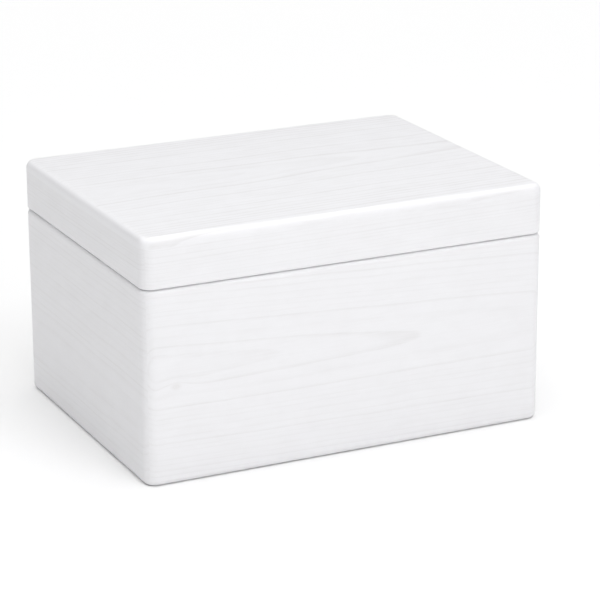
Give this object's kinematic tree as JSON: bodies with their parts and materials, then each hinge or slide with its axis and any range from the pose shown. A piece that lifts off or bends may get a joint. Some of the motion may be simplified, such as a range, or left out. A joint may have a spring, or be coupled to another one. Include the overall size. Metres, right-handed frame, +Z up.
{
  "type": "wooden toy box",
  "caption": "Rectangular wooden storage box for toys, with softly rounded edges and a deep hinged lid.",
  "frame": {"origin": "on the floor, at the centre of the box's footprint", "axes": "+X to the box's right as seen from the front, -Y out of the front face, +Z up"},
  "size_m": [0.4, 0.3, 0.23],
  "materials": {
    "white_pine": "white glaze, satin, grain showing faintly",
    "white_plywood": "white glaze, matt",
    "hinge_steel": "zinc plated, satin",
    "screw_steel": "zinc plated, bright"
  },
  "bodies": {
    "box": {"front_board": "white_pine", "right_board": "white_pine", "back_board": "white_pine", "left_board": "white_pine", "base_panel": "white_plywood", "left_hinge_body_leaf": "hinge_steel", "left_hinge_pin": "hinge_steel", "left_hinge_body_screws": "screw_steel", "right_hinge_body_leaf": "hinge_steel", "right_hinge_pin": "hinge_steel", "right_hinge_body_screws": "screw_steel"},
    "lid": {"lid_panel": "white_pine", "lid_front_rail": "white_pine", "lid_right_rail": "white_pine", "lid_back_rail": "white_pine", "lid_left_rail": "white_pine", "left_hinge_lid_leaf": "hinge_steel", "left_hinge_lid_screws": "screw_steel", "right_hinge_lid_leaf": "hinge_steel", "right_hinge_lid_screws": "screw_steel"}
  },
  "joints": [
    {"name": "lid_hinge", "type": "hinge", "parent": "box", "child": "lid", "pos_m": [0, 0.148, 0.1825], "axis": [-1, 0, 0], "range_deg": [0, 103]}
  ]
}
